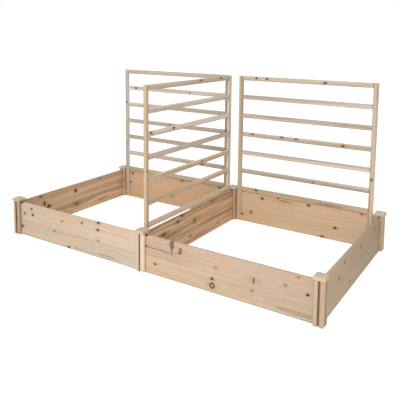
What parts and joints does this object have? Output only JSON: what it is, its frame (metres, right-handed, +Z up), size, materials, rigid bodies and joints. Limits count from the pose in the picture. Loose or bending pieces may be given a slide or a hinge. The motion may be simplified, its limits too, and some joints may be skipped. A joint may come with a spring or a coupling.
{
  "type": "raised planter with trellis",
  "caption": "Square raised beds joined side by side in plain softwood: grooved posts with square caps, walls of stacked boards, and ladder trellises inside the back walls and on the divider.",
  "frame": {"origin": "on the ground at the middle of the plan, under the middle of the divider", "axes": "+X runs right along the front walls, +Y runs from the front walls to the back ones that carry trellises, +Z is up"},
  "size_m": [2.474, 1.274, 1.2],
  "materials": {
    "post_wood": "planed softwood, unfinished",
    "cap_wood": "planed softwood, unfinished",
    "board_wood": "planed softwood, unfinished",
    "lath_wood": "planed softwood, unfinished",
    "dowel_wood": "turned hardwood, unfinished",
    "fastener_steel": "zinc-plated steel"
  },
  "bodies": {
    "root": {"back_centre_cap": "cap_wood", "back_centre_post": "post_wood", "back_left_cap": "cap_wood", "back_left_post": "post_wood", "back_left_wall_lower_board": "board_wood", "back_left_wall_upper_board": "board_wood", "back_right_cap": "cap_wood", "back_right_post": "post_wood", "back_right_wall_lower_board": "board_wood", "back_right_wall_upper_board": "board_wood", "cap_dowels": "dowel_wood", "divider_wall_lower_board": "board_wood", "divider_wall_upper_board": "board_wood", "front_centre_cap": "cap_wood", "front_centre_post": "post_wood", "front_left_cap": "cap_wood", "front_left_post": "post_wood", "front_left_wall_lower_board": "board_wood", "front_left_wall_upper_board": "board_wood", "front_right_cap": "cap_wood", "front_right_post": "post_wood", "front_right_wall_lower_board": "board_wood", "front_right_wall_upper_board": "board_wood", "left_end_wall_lower_board": "board_wood", "left_end_wall_upper_board": "board_wood", "left_trellis_left_upright": "lath_wood", "left_trellis_rail_1": "lath_wood", "left_trellis_rail_2": "lath_wood", "left_trellis_rail_3": "lath_wood", "left_trellis_rail_4": "lath_wood", "left_trellis_rail_5": "lath_wood", "left_trellis_rail_6": "lath_wood", "left_trellis_right_upright": "lath_wood", "left_trellis_top_rail": "lath_wood", "middle_trellis_back_upright": "lath_wood", "middle_trellis_front_upright": "lath_wood", "middle_trellis_rail_1": "lath_wood", "middle_trellis_rail_2": "lath_wood", "middle_trellis_rail_3": "lath_wood", "middle_trellis_rail_4": "lath_wood", "middle_trellis_rail_5": "lath_wood", "middle_trellis_rail_6": "lath_wood", "middle_trellis_top_rail": "lath_wood", "right_end_wall_lower_board": "board_wood", "right_end_wall_upper_board": "board_wood", "right_trellis_left_upright": "lath_wood", "right_trellis_rail_1": "lath_wood", "right_trellis_rail_2": "lath_wood", "right_trellis_rail_3": "lath_wood", "right_trellis_rail_4": "lath_wood", "right_trellis_rail_5": "lath_wood", "right_trellis_rail_6": "lath_wood", "right_trellis_right_upright": "lath_wood", "right_trellis_top_rail": "lath_wood", "trellis_nails": "fastener_steel", "trellis_screws": "fastener_steel"}
  },
  "joints": []
}
